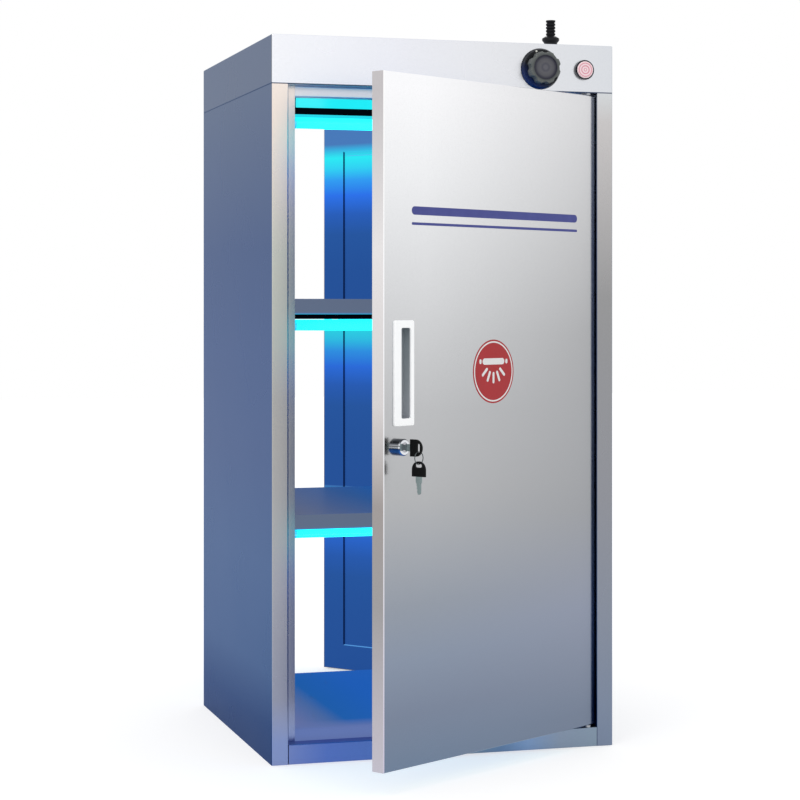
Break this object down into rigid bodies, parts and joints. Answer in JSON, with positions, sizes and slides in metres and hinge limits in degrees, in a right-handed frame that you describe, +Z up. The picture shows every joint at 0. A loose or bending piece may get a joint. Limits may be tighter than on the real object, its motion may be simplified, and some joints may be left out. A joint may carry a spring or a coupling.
{
  "type": "ultraviolet disinfection cabinet",
  "caption": "Tall stainless pass-through disinfection cabinet with front and rear doors, shelves, ultraviolet lamps, timer knob, push button and key lock.",
  "frame": {"origin": "centre of the cabinet's footprint, on the floor it stands on", "axes": "+X to the right seen from the front, +Y from the front door towards the rear door, +Z up"},
  "size_m": [0.5011, 1.0241, 1.0415],
  "materials": {
    "stainless_shell": "satin brushed",
    "stainless_header": "satin",
    "stainless_lining": "semi-polished",
    "reflector": "black outside, bright inside",
    "plated_steel": "zinc plated",
    "lamp_socket": "gloss",
    "lamp_glass": "clear quartz",
    "lamp_cap": "matt",
    "ballast_case": "semi-gloss",
    "terminal_plastic": "matt",
    "timer_case": "matt",
    "shaft_brass": "machined",
    "knob_plastic": "satin",
    "button_ring": "polished",
    "button_lens": "gloss",
    "gland_plastic": "semi-gloss",
    "gland_rubber": "matt",
    "handle_frame": "semi-gloss",
    "handle_cup": "satin",
    "lock_chrome": "polished",
    "pivot_nylon": "natural",
    "hinge_steel": "satin",
    "key_steel": "nickel plated",
    "key_plastic": "fine grain"
  },
  "bodies": {
    "cabinet": {"base_frame": "stainless_shell", "left_side_panel": "stainless_shell", "right_side_panel": "stainless_shell", "left_inner_wall": "stainless_lining", "right_inner_wall": "stainless_lining", "floor_tray": "stainless_lining", "front_head_rail": "stainless_shell", "rear_head_rail": "stainless_lining", "ceiling_panel": "stainless_lining", "rear_fixed_panel": "stainless_shell", "header_cover": "stainless_header", "lower_shelf": "stainless_lining", "upper_shelf": "stainless_lining", "shelf_rails": "stainless_lining", "lamp_reflectors": "reflector", "lamp_brackets": "plated_steel", "lamp_holders": "lamp_socket", "uv_tubes": "lamp_glass", "tube_caps": "lamp_cap", "ballasts": "ballast_case", "terminal_block": "terminal_plastic", "timer_body": "timer_case", "button_bezel": "button_ring", "button_nut": "plated_steel", "button_switch": "timer_case", "gland_body": "gland_plastic", "gland_nut": "gland_plastic", "strain_relief": "gland_rubber", "front_pivot_pins": "hinge_steel", "rear_hinge_frames": "hinge_steel", "rear_hinge_pins": "hinge_steel"},
    "front_door": {"front_door_skin": "stainless_shell", "front_door_liner": "stainless_lining", "front_handle_cup": "handle_cup", "front_handle_frame": "handle_frame", "front_lock_barrel": "lock_chrome", "front_lock_nut": "plated_steel", "front_pivot_blocks": "pivot_nylon"},
    "front_key": {"front_lock_plug": "lock_chrome", "front_lock_cam": "plated_steel", "key_blade": "key_steel", "key_bow": "key_plastic"},
    "key_ring": {"key_ring": "key_steel"},
    "spare_key": {"spare_key_blade": "key_steel", "spare_key_bow": "key_plastic"},
    "rear_door": {"rear_door_skin": "stainless_shell", "rear_door_liner": "stainless_lining", "rear_handle_cup": "handle_cup", "rear_handle_frame": "handle_frame", "rear_lock_barrel": "lock_chrome", "rear_lock_nut": "plated_steel", "rear_hinge_leaves": "hinge_steel"},
    "rear_lock": {"rear_lock_plug": "lock_chrome", "rear_lock_cam": "plated_steel"},
    "timer_knob": {"timer_knob": "knob_plastic", "timer_shaft": "shaft_brass"},
    "power_button": {"power_button": "button_lens"}
  },
  "joints": [
    {"name": "front_door_hinge", "type": "hinge", "parent": "cabinet", "child": "front_door", "pos_m": [0.214, -0.2325, 0.4795], "axis": [0, 0, 1], "range_deg": [-31.6, 78]},
    {"name": "rear_door_hinge", "type": "hinge", "parent": "cabinet", "child": "rear_door", "pos_m": [0.243, 0.243, 0.47], "axis": [0, 0, -1], "range_deg": [-51.9, 58]},
    {"name": "front_lock_turn", "type": "hinge", "parent": "front_door", "child": "front_key", "pos_m": [-0.13131, -0.45081, 0.446], "axis": [0.524, -0.8517, 0], "range_deg": [-90, 0]},
    {"name": "key_ring_hang", "type": "hinge", "parent": "front_key", "child": "key_ring", "pos_m": [-0.11355, -0.47968, 0.43824], "axis": [0.524, -0.8517, 0], "range_deg": [0, 90]},
    {"name": "spare_key_swing", "type": "hinge", "parent": "key_ring", "child": "spare_key", "pos_m": [-0.11355, -0.47968, 0.42544], "axis": [0.8517, 0.524, 0], "range_deg": [-25, 25]},
    {"name": "rear_lock_turn", "type": "hinge", "parent": "rear_door", "child": "rear_lock", "pos_m": [0.05329, 0.51169, 0.616], "axis": [-0.7869, -0.617, 0], "range_deg": [-90, 0]},
    {"name": "timer_knob_turn", "type": "hinge", "parent": "cabinet", "child": "timer_knob", "pos_m": [0.14, -0.2375, 0.964], "axis": [0, 1, 0], "range_deg": [0, 300]},
    {"name": "power_button_press", "type": "slide", "parent": "cabinet", "child": "power_button", "axis": [0, 1, 0], "range_m": [0, 0.0025], "stiffness_N_per_m": 300}
  ],
  "couplings": [
    {"joint": "key_ring_hang", "follows": "front_lock_turn", "ratio": -1}
  ]
}
